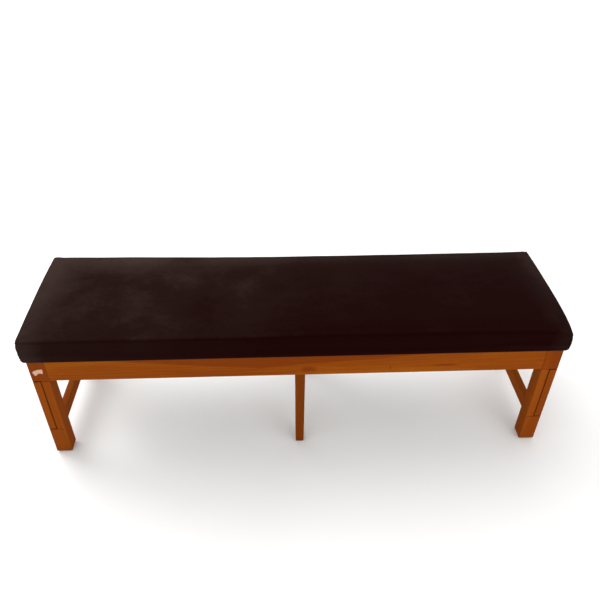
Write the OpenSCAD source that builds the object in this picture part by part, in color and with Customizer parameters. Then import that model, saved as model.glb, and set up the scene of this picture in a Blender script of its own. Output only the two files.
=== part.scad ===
// Long upholstered bench: a padded seat screwed onto a dowelled wooden frame.
// Frame: origin on the floor under the centre of the seat, +X to the right, +Y to the back, +Z up.

/* [Frame] */
// Length over the outer faces of the corner legs
frame_l = 1480; // [1000:10:2000]
// Depth over the outer faces of the corner legs
frame_d = 384; // [300:2:500]
// Height of the wooden frame, which is the underside of the seat
frame_h = 378; // [320:1:480]
// Height of the rails under the seat
apron_h = 76; // [65:1:110]
// Thickness of the rails under the seat
apron_t = 19; // [16:1:24]
// Rounding of the planed long edges
edge_r = 2; // [0.5:0.5:3]

/* [Corner legs] */
// Width of a corner leg, along the bench
leg_w = 46; // [40:1:60]
// Depth of a corner leg, front to back
leg_d = 44; // [40:1:60]
// Width of the strip let into a leg's outer corner
strip_w = 21; // [12:1:24]
// Depth of that strip
strip_d = 12; // [8:1:15]
// Height of the foot below the strip
foot_h = 102; // [95:1:150]
// Width of the joint line round the strip
joint_gap = 3; // [0.4:0.2:4]
// Bevel round the foot's lower edges
foot_bevel = 3; // [1:0.5:6]

/* [Middle legs and low rails] */
// Width of a middle leg
mid_w = 28; // [24:1:40]
// Depth of a middle leg
mid_d = 34; // [32:1:45]
// Width of a middle leg at the floor
mid_foot_w = 24; // [22:1:40]
// How far the middle legs and their rail stand to the right of the centre
mid_x = 4; // [-10:1:10]
// How far a middle leg's face stands back from the long rail's face
mid_back = 13; // [8:1:16]
// Thickness of the low end rails
stretcher_t = 21; // [16:1:24]
// Height of the low end rails
stretcher_h = 40; // [32:1:44]
// Underside of the low end rails above the floor
stretcher_z = 61; // [50:1:61]
// How far the low end rails stand in from the legs' outer faces
stretcher_in = 3; // [2:1:8]

/* [Seat] */
// How far the seat hangs over the frame at each end
over_x = 10; // [0:1:40]
// How far the seat hangs over the frame at front and back
over_y = 8; // [0:1:30]
// Thickness of the whole seat
seat_h = 75; // [50:1:120]
// Thickness of the seat board
board_t = 12; // [9:1:18]
// How far the seat board stands in from the seat's outline, under the tucked cloth
board_in = 8; // [4:1:8]
// Plan radius of the seat's corners
corner_r = 12; // [10:1:40]
// Thickness of the cover with its thin wadding
cover_t = 3; // [1.5:0.5:4]

/* [Hidden] */
$fn = 48;
eps = 1;                                   // how far a cut runs past the face it opens
fit = 0.1;                                 // clearance round dowels and screws

seat_l = frame_l + 2 * over_x;
seat_d = frame_d + 2 * over_y;
seat_top = frame_h + seat_h;
apron_z = frame_h - apron_h;               // underside of the rails
strip_top = apron_z - joint_gap;
strip_h = strip_top - foot_h - joint_gap;

pad_h = 2;
pad_d = 30;
mid_pad_d = 20;
line_depth = 1.2;                          // depth of the scribed lines on the legs

tenon_t = 11;
tenon_h = 28;
tenon_l = 20;

dowel_d = 8;
dowel_l = 40;
dowel_z = [apron_z + 20, frame_h - 20];

lining_t = 0.6;
lining_in = 50;                            // lining edge, in from the legs' outer faces
turn_under = 70;                           // width of the cloth turned under the board
turn_t = 2;
foam_h = seat_h - turn_t - board_t - cover_t;
rail_h = 44;
rail_z = frame_h - lining_t - rail_h;
rail_dowel_z = [rail_z + 25, rail_z + 37];
mid_dowel_x = -7;
mid_screw_x = 7;

block_arm = 84;
block_tip = 8;
block_h = 36;
block_z = frame_h - 2 - block_h;
block_screw_at = 60;
block_screw_seat = 22;
seat_screw_at = 36;
seat_screw_y = 100;                        // the two seat screws of the cross rail

head_d = 8.4;
shank_d = 4;
screw_l = 36;
seat_screw_l = 44;
mid_screw_l = 40;

staple_w = 12;
staple_wire = 0.6;
staple_l = 7;
staple_pitch = 90;
staple_rows = 7;                           // staples on each half of a long side
staple_end_rows = 2;                       // staples on each half of an end

// ---- placing ----

// Local frame at a corner leg: origin on the leg's outer corner, x and y running inwards.
module at_corner(sx, sy) {
    translate([sx * frame_l / 2, sy * frame_d / 2, 0])
        mirror([sx > 0 ? 1 : 0, 0, 0])
            mirror([0, sy > 0 ? 1 : 0, 0])
                children();
}

// The same pieces at all four corners.
module at_all_corners() {
    for (sx = [-1, 1], sy = [-1, 1])
        at_corner(sx, sy) children();
}

// Local frame on the front or back face, at mid length: y runs inwards.
module at_side(sy) {
    translate([0, sy * frame_d / 2, 0])
        mirror([0, sy > 0 ? 1 : 0, 0])
            children();
}

// Local frame of a middle leg: as at_side, but at the leg.
module at_middle(sy) {
    translate([mid_x, 0, 0]) at_side(sy) children();
}

// ---- shapes ----

// Rectangle with round corners, centred.
module round_rect(w, d, r) {
    square([w - 2 * r, d], center = true);
    square([w, d - 2 * r], center = true);
    for (sx = [-1, 1], sy = [-1, 1])
        translate([sx * (w / 2 - r), sy * (d / 2 - r)]) circle(r);
}

// Planed bar from z = 0 up, with its long edges rounded.
module upright_bar(w, d, h) {
    linear_extrude(h) round_rect(w, d, edge_r);
}

// Planed bar along X, centred on it, from z = 0 up.
module bar_x(l, t, h) {
    translate([-l / 2, 0, h / 2])
        rotate([90, 0, 90])
            linear_extrude(l) round_rect(t, h, edge_r);
}

// Planed bar along Y, centred on it, from z = 0 up.
module bar_y(l, t, h) {
    rotate([0, 0, 90]) bar_x(l, t, h);
}

// Countersunk wood screw: head face at z = 0, point upwards; grow widens it into its hole.
module wood_screw(l, grow = 0) {
    head_h = (head_d - shank_d) / 2;
    rotate_extrude()
        polygon([
            [0, 0], [head_d / 2 + grow, 0], [shank_d / 2 + grow, head_h],
            [shank_d / 2 + grow, l - shank_d], [0, l + grow]
        ]);
}

// The screw itself, with a cross slot in its head.
module slotted_screw(l) {
    slot = [4.6, 0.9, 2.4];
    difference() {
        wood_screw(l);
        for (turn = [0, 90])
            rotate([0, 0, turn]) cube(slot, center = true);
    }
}

// Hole for a screw, with the opening below its head that the screwdriver goes through.
module screw_hole(l, sunk) {
    wood_screw(l, fit);
    translate([0, 0, -sunk]) cylinder(d = head_d + 2 * fit, h = sunk);
}

// Dowel along Z from z = 0; grow makes its bore.
module dowel(grow = 0) {
    translate([0, 0, -grow]) cylinder(d = dowel_d - 2 * fit + 4 * grow, h = dowel_l + 2 * grow);
}

// ---- where the fasteners go; each takes the part or its hole as a child ----

// Dowels of the rails at one corner, half in the leg and half in the rail.
module place_apron_dowels() {
    for (z = dowel_z) {
        translate([leg_w - dowel_l / 2, apron_t / 2, z]) rotate([0, 90, 0]) children();
        translate([apron_t / 2, leg_d - dowel_l / 2, z]) rotate([-90, 0, 0]) children();
    }
}

// Dowels at one end of the cross rail, and the one on top of the middle leg.
module place_centre_dowels() {
    for (z = rail_dowel_z)
        translate([0, apron_t - 12, z]) rotate([-90, 0, 0]) children();
    translate([mid_dowel_x, mid_back + mid_d / 2 + 3, rail_z - dowel_l / 2]) children();
}

// Screw through a middle leg into the long rail.
module place_centre_leg_screw() {
    translate([mid_screw_x, mid_back + mid_d, (apron_z + rail_z) / 2]) rotate([90, 0, 0]) children();
}

// Screws of one corner block, into the long rail and into the end rail.
module place_block_screws() {
    z = block_z + block_h / 2;
    translate([apron_t + block_screw_at, apron_t + block_screw_seat, z]) rotate([90, 0, 0]) children();
    translate([apron_t + block_screw_seat, apron_t + block_screw_at, z]) rotate([0, -90, 0]) children();
}

// Screws up into the seat board, through the corner blocks and the cross rail.
module place_seat_screws() {
    z = frame_h + board_t - seat_screw_l;
    at_all_corners()
        translate([apron_t + seat_screw_at, apron_t + seat_screw_at, z]) children();
    for (sy = [-1, 1])
        translate([mid_x, sy * seat_screw_y, z]) children();
}

// Staples along the lining's edge.
module place_staples() {
    side_y = (frame_d / 2 - lining_in + seat_d / 2 - turn_under) / 2;
    end_x = (frame_l / 2 - lining_in + seat_l / 2 - turn_under) / 2;
    for (i = [-staple_rows : staple_rows - 1], sy = [-1, 1])
        translate([(i + 0.5) * staple_pitch, sy * side_y, frame_h - lining_t]) children();
    for (i = [-staple_end_rows : staple_end_rows - 1], sx = [-1, 1])
        translate([sx * end_x, (i + 0.5) * staple_pitch * 2 / 3, frame_h - lining_t])
            rotate([0, 0, 90]) children();
}

// Staple with its legs up; grow makes the slits that its legs leave.
module staple_legs(grow = 0) {
    wire = staple_wire + 2 * grow;
    for (s = [-1, 1])
        translate([s * (staple_w - staple_wire) / 2, 0, staple_l / 2])
            cube([wire, wire, staple_l + 2 * grow], center = true);
}

module staple() {
    staple_legs();
    translate([-staple_w / 2, -staple_wire / 2, -staple_wire])
        cube([staple_w, staple_wire, staple_wire]);
}

// ---- seat ----

// Slab of the seat's outline drawn in by inset, from height z up.
module seat_slab(z, h, inset) {
    translate([0, 0, z])
        linear_extrude(h)
            round_rect(seat_l - 2 * inset, seat_d - 2 * inset, corner_r - inset);
}

module seat_cover() {
    color("#1f1214")
        difference() {
            seat_slab(frame_h, seat_h, 0);
            seat_slab(frame_h + turn_t, board_t, board_in);
            seat_slab(frame_h + turn_t + board_t, foam_h, cover_t);
            translate([0, 0, frame_h - eps])
                linear_extrude(turn_t + 2 * eps)
                    square([seat_l - 2 * turn_under, seat_d - 2 * turn_under], center = true);
            place_seat_screws() wood_screw(seat_screw_l, fit);
            place_staples() staple_legs(fit);
        }
}

module seat_board() {
    color("#b08a5a")
        difference() {
            seat_slab(frame_h + turn_t, board_t, board_in);
            place_seat_screws() wood_screw(seat_screw_l, fit);
            place_staples() staple_legs(fit);
        }
}

module seat_foam() {
    color("#e9dcae")
        seat_slab(frame_h + turn_t + board_t, foam_h, cover_t);
}

module dust_cover() {
    color("#161616")
        difference() {
            translate([0, 0, frame_h - lining_t])
                linear_extrude(lining_t)
                    square([frame_l - 2 * lining_in, frame_d - 2 * lining_in], center = true);
            place_seat_screws() wood_screw(seat_screw_l, fit);
            place_staples() staple_legs(fit);
        }
}

module cover_staples() {
    color("silver") place_staples() staple();
}

module seat_screws() {
    color("silver") place_seat_screws() slotted_screw(seat_screw_l);
}

// ---- corner legs ----

// Cuts that bevel the lower edges of a foot of width w and depth d, centred.
module foot_bevels(w, d) {
    side = foot_bevel * sqrt(2);
    for (s = [-1, 1]) {
        translate([s * w / 2, 0, pad_h]) rotate([0, 45, 0]) cube([side, d + 2 * eps, side], center = true);
        translate([0, s * d / 2, pad_h]) rotate([45, 0, 0]) cube([w + 2 * eps, side, side], center = true);
    }
}

module corner_leg(sx, sy) {
    mortise_x = stretcher_in + (stretcher_t - tenon_t) / 2;
    mortise_z = stretcher_z + (stretcher_h - tenon_h) / 2;
    color("#7d3c14")
        at_corner(sx, sy)
            difference() {
                translate([leg_w / 2, leg_d / 2, pad_h]) upright_bar(leg_w, leg_d, frame_h - pad_h);
                translate([leg_w / 2, leg_d / 2, 0]) foot_bevels(leg_w, leg_d);
                translate([-eps, -eps, foot_h])
                    cube([strip_w + joint_gap + eps, strip_d + eps, apron_z - foot_h]);
                for (z = [foot_h, strip_top])
                    translate([strip_w, -eps, z]) cube([leg_w, line_depth + eps, joint_gap]);
                translate([leg_w - line_depth, -eps, strip_top])
                    cube([line_depth + eps, leg_d + 2 * eps, joint_gap]);
                place_apron_dowels() dowel(fit);
                translate([mortise_x, leg_d - tenon_l, mortise_z])
                    cube([tenon_t, tenon_l + eps, tenon_h]);
            }
}

module leg_front_left() { corner_leg(-1, -1); }
module leg_front_right() { corner_leg(1, -1); }
module leg_rear_left() { corner_leg(-1, 1); }
module leg_rear_right() { corner_leg(1, 1); }

module leg_strip(sx, sy) {
    color("#86431a")
        at_corner(sx, sy)
            translate([strip_w / 2, strip_d / 2, foot_h + joint_gap])
                upright_bar(strip_w, strip_d, strip_h);
}

module strip_front_left() { leg_strip(-1, -1); }
module strip_front_right() { leg_strip(1, -1); }
module strip_rear_left() { leg_strip(-1, 1); }
module strip_rear_right() { leg_strip(1, 1); }

// ---- rails ----

module long_apron(sy) {
    color("#8f4a10")
        difference() {
            at_side(sy) translate([0, apron_t / 2, apron_z]) bar_x(frame_l - 2 * leg_w, apron_t, apron_h);
            at_all_corners() {
                place_apron_dowels() dowel(fit);
                place_block_screws() wood_screw(screw_l, fit);
            }
            at_middle(sy) {
                place_centre_dowels() dowel(fit);
                place_centre_leg_screw() wood_screw(mid_screw_l, fit);
            }
        }
}

module apron_front() { long_apron(-1); }
module apron_rear() { long_apron(1); }

module end_apron(sx) {
    color("#8f4a10")
        difference() {
            translate([sx * (frame_l - apron_t) / 2, 0, apron_z])
                bar_y(frame_d - 2 * leg_d, apron_t, apron_h);
            at_all_corners() {
                place_apron_dowels() dowel(fit);
                place_block_screws() wood_screw(screw_l, fit);
            }
        }
}

module apron_left() { end_apron(-1); }
module apron_right() { end_apron(1); }

module stretcher(sx) {
    color("#8a4716")
        translate([sx * (frame_l / 2 - stretcher_in - stretcher_t / 2), 0, stretcher_z]) {
            bar_y(frame_d - 2 * leg_d, stretcher_t, stretcher_h);
            translate([0, 0, stretcher_h / 2])
                cube([tenon_t, frame_d - 2 * leg_d + 2 * tenon_l, tenon_h], center = true);
        }
}

module stretcher_left() { stretcher(-1); }
module stretcher_right() { stretcher(1); }

module cross_rail() {
    color("#9a6a3c")
        difference() {
            translate([mid_x, 0, rail_z]) bar_y(frame_d - 2 * apron_t, mid_w, rail_h);
            for (sy = [-1, 1])
                at_middle(sy) place_centre_dowels() dowel(fit);
            place_seat_screws() screw_hole(seat_screw_l, rail_h / 2);
        }
}

// ---- middle legs ----

// Cuts that taper the two sides of a middle leg from the rail down to the floor.
module taper_cuts() {
    lean = atan((mid_w - mid_foot_w) / 2 / apron_z);
    past = 20;                             // how far a cut runs on above and below
    for (s = [-1, 1])
        translate([s * mid_foot_w / 2, 0, 0])
            rotate([0, s * lean, 0])
                translate([s * mid_w / 2, 0, apron_z / 2])
                    cube([mid_w, mid_d + 2 * eps, apron_z + 2 * past], center = true);
}

module centre_leg(sy) {
    color("#703413")
        at_middle(sy)
            difference() {
                translate([0, mid_back + mid_d / 2, pad_h])
                    upright_bar(mid_w, mid_d, rail_z - pad_h);
                translate([0, mid_back + mid_d / 2, 0]) {
                    taper_cuts();
                    foot_bevels(mid_foot_w, mid_d);
                }
                translate([-mid_w, mid_back - eps, apron_z])
                    cube([2 * mid_w, apron_t - mid_back + eps, apron_h]);
                place_centre_dowels() dowel(fit);
                place_centre_leg_screw() screw_hole(mid_screw_l, eps);
            }
}

module centre_leg_front() { centre_leg(-1); }
module centre_leg_rear() { centre_leg(1); }

// ---- corner blocks and fasteners ----

module corner_block(sx, sy) {
    notch_x = leg_w - apron_t;
    notch_y = leg_d - apron_t;
    color("#9a6a3c")
        difference() {
            at_corner(sx, sy)
                translate([apron_t, apron_t, block_z])
                    linear_extrude(block_h)
                        polygon([
                            [notch_x, 0], [block_arm, 0], [block_arm, block_tip],
                            [block_tip, block_arm], [0, block_arm], [0, notch_y], [notch_x, notch_y]
                        ]);
            at_corner(sx, sy) place_block_screws() screw_hole(screw_l, block_arm / 2);
            place_seat_screws() screw_hole(seat_screw_l, block_h / 2);
        }
}

module block_front_left() { corner_block(-1, -1); }
module block_front_right() { corner_block(1, -1); }
module block_rear_left() { corner_block(-1, 1); }
module block_rear_right() { corner_block(1, 1); }

module block_screws() {
    color("silver") at_all_corners() place_block_screws() slotted_screw(screw_l);
}

module apron_dowels() {
    color("#d8b888") at_all_corners() place_apron_dowels() dowel();
}

module centre_dowels() {
    color("#d8b888")
        for (sy = [-1, 1])
            at_middle(sy) place_centre_dowels() dowel();
}

module centre_leg_screws() {
    color("silver")
        for (sy = [-1, 1])
            at_middle(sy) place_centre_leg_screw() slotted_screw(mid_screw_l);
}

module floor_pads() {
    color("#4a4038") {
        at_all_corners()
            translate([leg_w / 2, leg_d / 2, 0]) cylinder(d = pad_d, h = pad_h);
        for (sy = [-1, 1])
            at_middle(sy) translate([0, mid_back + mid_d / 2, 0]) cylinder(d = mid_pad_d, h = pad_h);
    }
}

// Blank torn paper sticker on the top of the left front leg.
module paper_label() {
    label_x = -frame_l / 2 + 22;
    label_z = apron_z + 32;
    label_t = 0.3;
    color("#e6cdbf")
        translate([label_x, -frame_d / 2, label_z])
            rotate([90, 0, 0])
                linear_extrude(label_t)
                    polygon([
                        [-14, 2], [-7, 7.5], [3, 11], [14.5, 12.5], [15.5, 5], [13, -5],
                        [6, -2.5], [0, -4], [-5, -10], [-8.5, -11], [-12, -4]
                    ]);
}

seat_cover();
seat_foam();
seat_board();
dust_cover();
cover_staples();
seat_screws();
leg_front_left();
leg_front_right();
leg_rear_left();
leg_rear_right();
strip_front_left();
strip_front_right();
strip_rear_left();
strip_rear_right();
apron_front();
apron_rear();
apron_left();
apron_right();
stretcher_left();
stretcher_right();
cross_rail();
centre_leg_front();
centre_leg_rear();
block_front_left();
block_front_right();
block_rear_left();
block_rear_right();
block_screws();
apron_dowels();
centre_dowels();
centre_leg_screws();
floor_pads();
paper_label();
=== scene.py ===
"""Looks of a long upholstered bench: cloth, stained wood, fasteners, floor, lights and camera.

Everything is in metres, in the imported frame: +X along the bench, +Y to its back, +Z up.
"""

import logging
import math
import random
from collections.abc import Iterable
from dataclasses import dataclass, replace
from enum import Enum

import bmesh
import bpy
import numpy as np
from mathutils import Matrix, Vector, noise
from mathutils.bvhtree import BVHTree


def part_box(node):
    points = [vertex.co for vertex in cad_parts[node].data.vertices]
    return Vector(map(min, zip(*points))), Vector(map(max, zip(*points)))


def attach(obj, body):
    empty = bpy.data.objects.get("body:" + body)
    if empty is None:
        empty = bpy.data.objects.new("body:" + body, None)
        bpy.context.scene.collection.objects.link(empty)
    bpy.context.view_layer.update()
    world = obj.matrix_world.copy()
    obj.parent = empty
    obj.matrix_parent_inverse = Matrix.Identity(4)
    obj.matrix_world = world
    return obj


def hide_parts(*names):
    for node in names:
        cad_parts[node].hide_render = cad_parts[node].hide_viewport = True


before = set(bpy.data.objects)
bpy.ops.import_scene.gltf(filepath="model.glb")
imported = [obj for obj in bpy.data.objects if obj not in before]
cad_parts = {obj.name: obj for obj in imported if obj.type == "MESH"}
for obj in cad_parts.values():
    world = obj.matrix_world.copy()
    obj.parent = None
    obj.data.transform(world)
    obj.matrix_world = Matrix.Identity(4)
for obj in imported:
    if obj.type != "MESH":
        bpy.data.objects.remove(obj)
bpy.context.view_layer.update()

LOG = logging.getLogger("bench")
MM = 0.001
TURN = 2 * math.pi
BODY = "root"
Colour = tuple[float, float, float, float]


class Axis(Enum):
    """A direction of the frame, by its place in a vector."""

    X = 0
    Y = 1
    Z = 2


def tint(code: str) -> Colour:
    """Turns a web colour into the linear colour that a shader takes.

    Args:
        code: Six hexadecimal digits after a hash sign.

    Returns:
        Linear red, green and blue, and an alpha of one.
    """
    parts = [int(code[i : i + 2], 16) / 255 for i in (1, 3, 5)]
    linear = [p / 12.92 if p <= 0.04045 else ((p + 0.055) / 1.055) ** 2.4 for p in parts]
    return (linear[0], linear[1], linear[2], 1.0)


# ---- shader maths ----


class Field:
    """An output in a material, whose arithmetic adds the Math nodes that it needs."""

    def __init__(self, shader: "Shader", socket: bpy.types.NodeSocket) -> None:
        """Wraps one output socket.

        Args:
            shader: The material that the socket belongs to.
            socket: The output socket.
        """
        self.shader = shader
        self.socket = socket

    def _math(self, operation: str, *operands: "Field | float") -> "Field":
        """Adds one Math node.

        Args:
            operation: The node's operation.
            *operands: Its inputs, in order.

        Returns:
            The node's value.
        """
        return self.shader.node(
            "ShaderNodeMath", {"operation": operation}, dict(enumerate(operands))
        )

    def __add__(self, other: "Field | float") -> "Field":
        """Sum."""
        return self._math("ADD", self, other)

    __radd__ = __add__

    def __sub__(self, other: "Field | float") -> "Field":
        """Difference."""
        return self._math("SUBTRACT", self, other)

    def __rsub__(self, other: "Field | float") -> "Field":
        """Difference from a number."""
        return self._math("SUBTRACT", other, self)

    def __mul__(self, other: "Field | float") -> "Field":
        """Product."""
        return self._math("MULTIPLY", self, other)

    __rmul__ = __mul__

    def __pow__(self, other: "Field | float") -> "Field":
        """Power."""
        return self._math("POWER", self, other)

    def root(self) -> "Field":
        """Square root."""
        return self._math("SQRT", self)

    def wave(self) -> "Field":
        """Sine, moved into the range from zero to one."""
        return self._math("SINE", self) * 0.5 + 0.5

    def least(self, other: "Field | float") -> "Field":
        """The smaller of two values."""
        return self._math("MINIMUM", self, other)

    def most(self, other: "Field | float") -> "Field":
        """The larger of two values."""
        return self._math("MAXIMUM", self, other)

    def rise(self, start: float, end: float) -> "Field":
        """A smooth step.

        Args:
            start: Value at which the step is still zero.
            end: Value at which it has reached one; it may be below start.

        Returns:
            The step, from zero to one.
        """
        return self.shader.node(
            "ShaderNodeMapRange",
            {"interpolation_type": "SMOOTHSTEP"},
            {"Value": self, "From Min": start, "From Max": end},
        )


class Shader:
    """One material under construction."""

    def __init__(self, name: str) -> None:
        """Starts an empty material.

        Args:
            name: The material's name.
        """
        self.material = bpy.data.materials.new(name)
        self.material.use_nodes = True
        self.tree = self.material.node_tree
        self.tree.nodes.clear()
        self.place = self.node("ShaderNodeTexCoord", output="Object")

    def node(
        self,
        kind: str,
        settings: dict[str, object] | None = None,
        sockets: dict[str | int, object] | None = None,
        output: str | int | None = 0,
    ) -> Field | None:
        """Adds any node.

        Args:
            kind: The node's type.
            settings: Its own settings; "stops" are a colour ramp's positions and colours.
            sockets: Values, or fields to link, by input name or number.
            output: Which output is wanted; None where the node has none.

        Returns:
            That output.
        """
        made = self.tree.nodes.new(kind)
        for name, value in (settings or {}).items():
            if name == "stops":
                self._set_stops(made.color_ramp.elements, value)
            else:
                setattr(made, name, value)
        for name, value in (sockets or {}).items():
            if isinstance(value, Field):
                self.tree.links.new(value.socket, made.inputs[name])
            else:
                made.inputs[name].default_value = value
        return None if output is None else Field(self, made.outputs[output])

    @staticmethod
    def _set_stops(elements: bpy.types.ColorRampElements, stops: object) -> None:
        """Sets a colour ramp.

        Args:
            elements: The ramp's stops as they are.
            stops: Positions and colours, from low to high.
        """
        while len(elements) < len(stops):
            elements.new(1.0)
        for element, (position, colour) in zip(elements, stops):
            element.position = position
            element.color = colour

    def split(self, vector: Field) -> tuple[Field, Field, Field]:
        """Gives a vector's three parts.

        Args:
            vector: The vector.

        Returns:
            Its X, Y and Z.
        """
        x = self.node("ShaderNodeSeparateXYZ", sockets={0: vector})
        y, z = x.socket.node.outputs[1:]
        return x, Field(self, y), Field(self, z)

    def join(self, x: Field | float, y: Field | float, z: Field | float) -> Field:
        """Makes a vector of its three parts."""
        return self.node("ShaderNodeCombineXYZ", sockets={0: x, 1: y, 2: z})

    def noise(
        self, vector: Field, scale: float, detail: float = 2.0, rough: float = 0.5
    ) -> Field:
        """Adds a noise texture.

        Args:
            vector: Where it is read.
            scale: Lumps per unit of the vector.
            detail: Octaves.
            rough: How strong the finer octaves are.

        Returns:
            Its value, mostly between 0.3 and 0.7.
        """
        return self.node(
            "ShaderNodeTexNoise",
            sockets={"Vector": vector, "Scale": scale, "Detail": detail, "Roughness": rough},
        )

    def mix(
        self, factor: Field | float, first: object, second: object, blend: str = "MIX"
    ) -> Field:
        """Mixes two colours.

        Args:
            factor: Share of the second colour.
            first: A colour, or a colour field.
            second: A colour, or a colour field.
            blend: The blend type.

        Returns:
            The mixed colour.
        """
        return self.node(
            "ShaderNodeMix",
            {"data_type": "RGBA", "blend_type": blend},
            {0: factor, 6: first, 7: second},
            output=2,
        )

    def ramp(self, value: Field, stops: Iterable[tuple[float, Colour]]) -> Field:
        """Turns a value into a colour.

        Args:
            value: From zero to one.
            stops: Positions and colours, from low to high.

        Returns:
            The colour.
        """
        return self.node("ShaderNodeValToRGB", {"stops": list(stops)}, {0: value})

    def bump(self, height: Field, depth: float, under: Field | None = None) -> Field:
        """Turns a height into a normal.

        Args:
            height: From zero to one.
            depth: What a height of one stands for.
            under: The normal of a coarser bump below it.

        Returns:
            The normal.
        """
        sockets = {"Height": height, "Distance": depth}
        if under is not None:
            sockets["Normal"] = under
        return self.node("ShaderNodeBump", sockets=sockets)

    def finish(self, sockets: dict[str, object]) -> bpy.types.Material:
        """Adds the surface shader and closes the material.

        Args:
            sockets: Inputs of the surface shader.

        Returns:
            The finished material.
        """
        surface = self.node("ShaderNodeBsdfPrincipled", sockets=sockets)
        self.node("ShaderNodeOutputMaterial", sockets={"Surface": surface}, output=None)
        return self.material


# ---- finishes ----


@dataclass(frozen=True)
class Knot:
    """A knot in a board.

    Attributes:
        along: Its place along the grain.
        across: Its place across the board's face.
        size: Its radius.
        slender: What a step along the grain counts for, against one across it.
        reach: How far round it the grain is disturbed, in radii.
        push: How far it pushes the year rings aside, in radii.
    """

    along: float
    across: float
    size: float
    slender: float = 0.45
    reach: float = 3.2
    push: float = 2.4


@dataclass(frozen=True)
class Fleck:
    """A dark fleck in a board's face.

    Attributes:
        along: Its place along the grain.
        across: Its place across the board's face.
        long: Half its length along the grain.
        wide: Half its width.
    """

    along: float
    across: float
    long: float
    wide: float


@dataclass(frozen=True)
class Board:
    """What shows in one board's face.

    Attributes:
        knots: Its knots.
        flecks: Its flecks.
        heart: The band of dark heartwood along its upper edge: places, as shares of the
            board's length, and how deep the band is there.
        shaded_from: Place along the grain beyond which the wood is painted darker, a painted shade
            under the seat.
    """

    knots: tuple[Knot, ...] = ()
    flecks: tuple[Fleck, ...] = ()
    heart: tuple[tuple[float, float], ...] = ()
    shaded_from: float | None = None


class Cut:
    """One piece's own part of a tree: its grain, its faces and where its pith lies."""

    def __init__(self, shader: Shader, node: str, grain: Axis) -> None:
        """Places the piece in its tree.

        Args:
            shader: The piece's material.
            node: The CAD node.
            grain: The direction of the grain.
        """
        draw = random.Random(node)
        self.shader = shader
        self.low, self.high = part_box(node)
        parts = shader.split(shader.place)
        self.grain = grain.value
        self.across = [i for i in range(3) if i != grain.value]
        self.along = parts[grain.value]
        self.left, self.right = (parts[i] for i in self.across)
        self.shift = draw.uniform(1.0, 9.0)
        self.lean = draw.uniform(0.01, 0.03) * draw.choice((-1, 1))
        self.pith_away = (draw.uniform(25, 45) * MM, draw.uniform(28, 60) * MM)

    def noise(self, cross: float, length: float, detail: float, rough: float = 0.5) -> Field:
        """Reads noise that is drawn out along the grain.

        Args:
            cross: Lumps per metre across the grain.
            length: Lumps per metre along the grain.
            detail: Octaves.
            rough: How strong the finer octaves are.

        Returns:
            Its value.
        """
        place = self.shader.join(
            self.left * cross + self.shift,
            self.right * cross + 2.0 * self.shift,
            self.along * length + self.shift,
        )
        return self.shader.noise(place, 1.0, detail, rough)

    def from_pith(self, bend: Field) -> Field:
        """Measures how far a point lies from the pith, which leans away from the piece.

        Args:
            bend: How far the year rings are pushed aside there.

        Returns:
            The distance.
        """
        middle = [(self.low[i] + self.high[i]) / 2 for i in self.across]
        a = self.left - (middle[0] + self.pith_away[0]) + bend
        b = self.right - (middle[1] - self.pith_away[1]) + self.along * self.lean
        return (a * a + b * b).root()

    def near(self, knot: Knot) -> Field:
        """Gives how close a point is to a knot.

        Args:
            knot: The knot.

        Returns:
            One at its heart, falling to zero round it.
        """
        ahead = (self.along - knot.along) * knot.slender
        beside = self.right - knot.across
        return (ahead * ahead + beside * beside).root().rise(knot.reach * knot.size, 0.0)

    def around(self, fleck: Fleck) -> Field:
        """Measures a point's distance from a fleck, against the fleck's own size.

        Args:
            fleck: The fleck.

        Returns:
            Zero at its centre and one at its edge.
        """
        ahead = (self.along - fleck.along) * (1.0 / fleck.long)
        beside = (self.right - fleck.across) * (1.0 / fleck.wide)
        return (ahead * ahead + beside * beside).root()

    def in_heart(self, heart: tuple[tuple[float, float], ...]) -> Field:
        """Measures how far a point lies inside the band of heartwood.

        Args:
            heart: Places along the piece, as shares of its length, and the band's depth there.

        Returns:
            The distance from the band's lower limit, upwards.
        """
        span = self.along.rise(self.low[self.grain], self.high[self.grain])
        deepest = max(depth for _, depth in heart)
        greys = [(share, (depth / deepest,) * 3 + (1.0,)) for share, depth in heart]
        shown = self.shader.ramp(span, greys) * deepest
        return self.right - self.high[self.across[1]] + shown

    def from_end(self) -> Field:
        """Measures how far a point lies from the nearer end of the piece."""
        return self._inside(self.along, self.grain)

    def from_edge(self) -> Field:
        """Measures how far a point lies from the nearest long edge."""
        return self._inside(self.left, self.across[0]).most(
            self._inside(self.right, self.across[1])
        )

    def _inside(self, part: Field, side: int) -> Field:
        """Measures how far a point lies inside the nearer of two faces.

        Args:
            part: The point's place along one direction.
            side: The direction.

        Returns:
            The distance.
        """
        return (part - self.low[side]).least(self.high[side] - part)


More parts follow.
